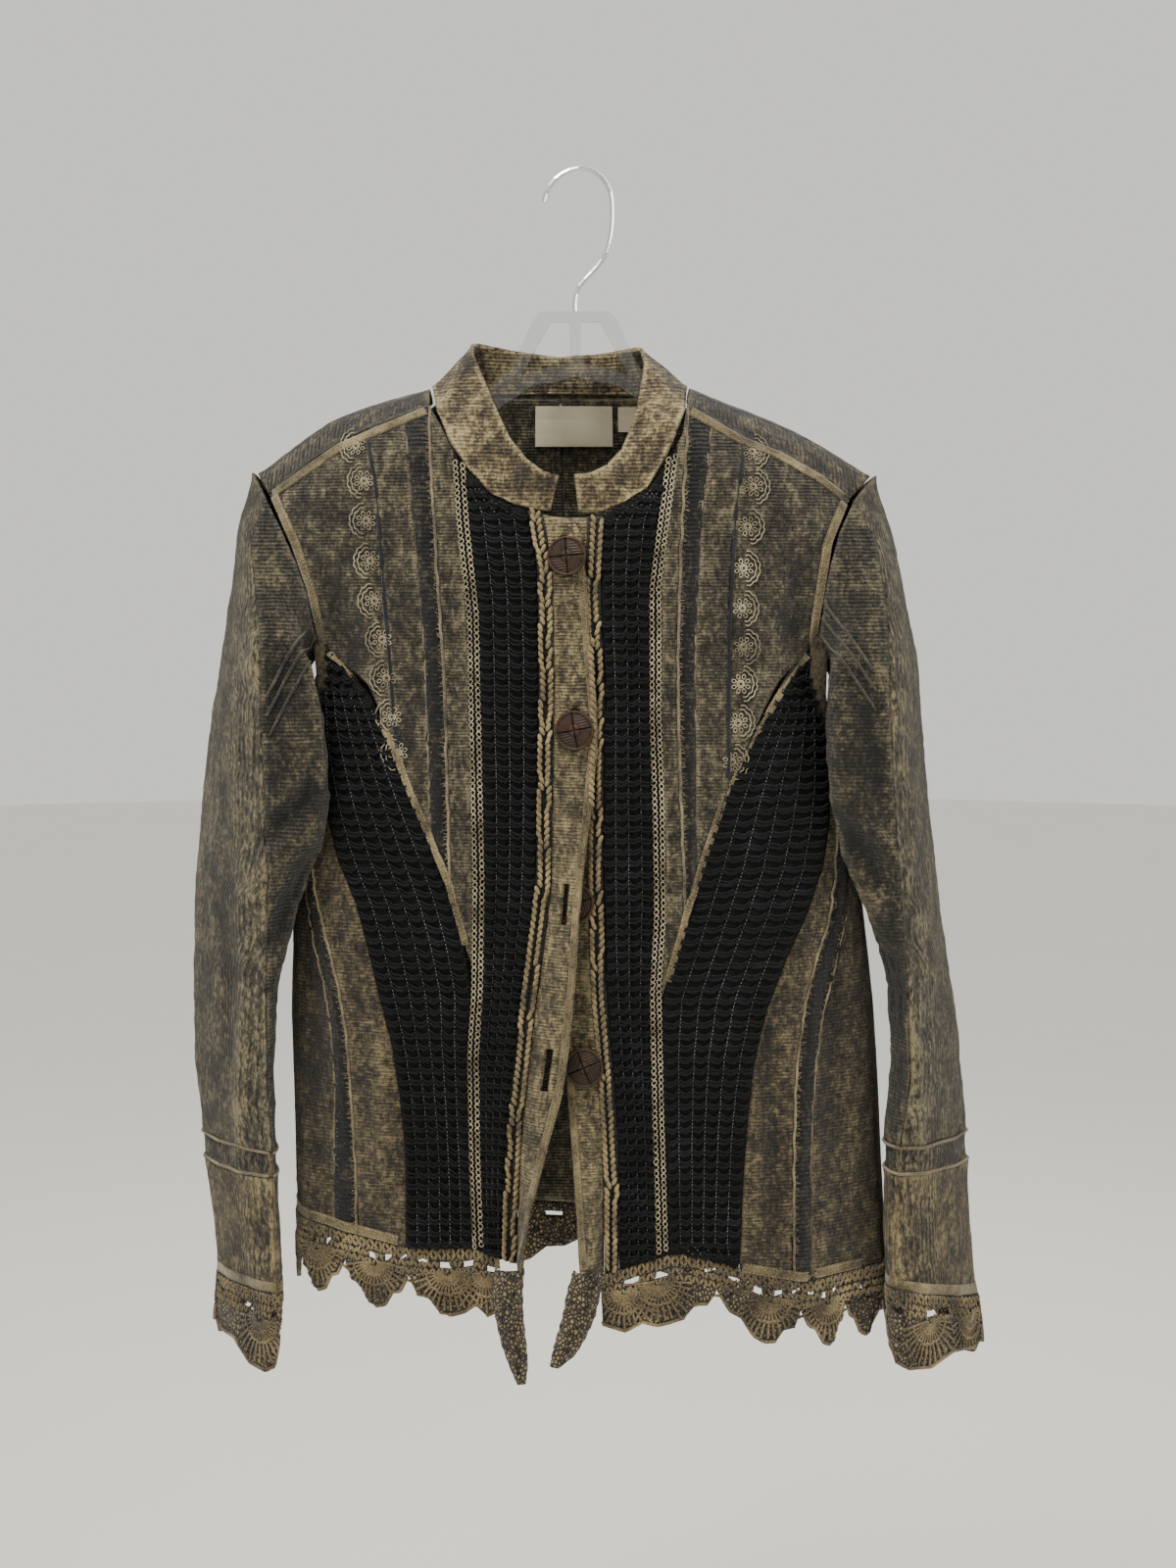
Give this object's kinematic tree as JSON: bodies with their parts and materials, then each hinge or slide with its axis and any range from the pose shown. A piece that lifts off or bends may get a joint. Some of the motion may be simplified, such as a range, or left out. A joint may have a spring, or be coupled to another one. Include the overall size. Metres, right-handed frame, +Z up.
{
  "type": "denim jacket on a hanger",
  "caption": "Washed denim jacket with stand collar, ribbed mesh panels, lace hem and cuffs and button front, hung on a clear plastic hanger.",
  "frame": {"origin": "where the hanger's hook rests on a rod, inside the top of the hook", "axes": "+Z up, the jacket's front faces -Y, +X to the viewer's right when facing the front"},
  "size_m": [0.558, 0.1438, 0.8423],
  "materials": {
    "cloth": "matte washed crinkle cotton",
    "dark_cloth": "matte tufted raw-edged cotton",
    "placket": "matte ribbed washed cotton",
    "mesh": "matte ribbed knit mesh",
    "trim": "matte braid",
    "lace": "matte crochet lace",
    "button": "satin carved",
    "label": "matte woven",
    "clear_plastic": "clear gloss",
    "chrome_wire": "polished"
  },
  "bodies": {
    "root": {"chest_left": "cloth", "chest_right": "cloth", "middle_strip_left": "cloth", "middle_strip_right": "cloth", "raw_strip_left": "dark_cloth", "raw_strip_right": "dark_cloth", "inner_strip_left": "cloth", "inner_strip_right": "cloth", "chain_trim_left": "trim", "chain_trim_right": "trim", "centre_mesh_left": "mesh", "centre_mesh_right": "mesh", "braid_left": "trim", "braid_right": "trim", "placket_left": "placket", "placket_right": "placket", "side_mesh_left": "mesh", "side_mesh_right": "mesh", "low_front_panel_left": "cloth", "low_front_panel_right": "cloth", "low_raw_strip_left": "dark_cloth", "low_raw_strip_right": "dark_cloth", "side_panel_left": "cloth", "side_panel_right": "cloth", "scallop_lace_left": "trim", "scallop_lace_right": "trim", "yoke_left": "dark_cloth", "yoke_right": "dark_cloth", "back_left": "cloth", "back_right": "cloth", "sleeve_top_left": "cloth", "sleeve_top_right": "cloth", "sleeve_under_left": "cloth", "sleeve_under_right": "cloth", "sleeve_raw_strip_left": "dark_cloth", "sleeve_raw_strip_right": "dark_cloth", "sleeve_band_left": "dark_cloth", "sleeve_band_right": "dark_cloth", "cuff_left": "cloth", "cuff_right": "cloth", "cuff_lace_front_left": "lace", "cuff_lace_front_right": "lace", "cuff_lace_back_left": "lace", "cuff_lace_back_right": "lace", "collar": "placket", "hem_lace_left": "lace", "hem_lace_right": "lace", "hem_lace_back": "lace", "button_1": "button", "button_2": "button", "button_3": "button", "button_4": "button", "neck_label": "label", "size_tag": "label", "hanger": "clear_plastic", "hook": "chrome_wire"}
  },
  "joints": []
}
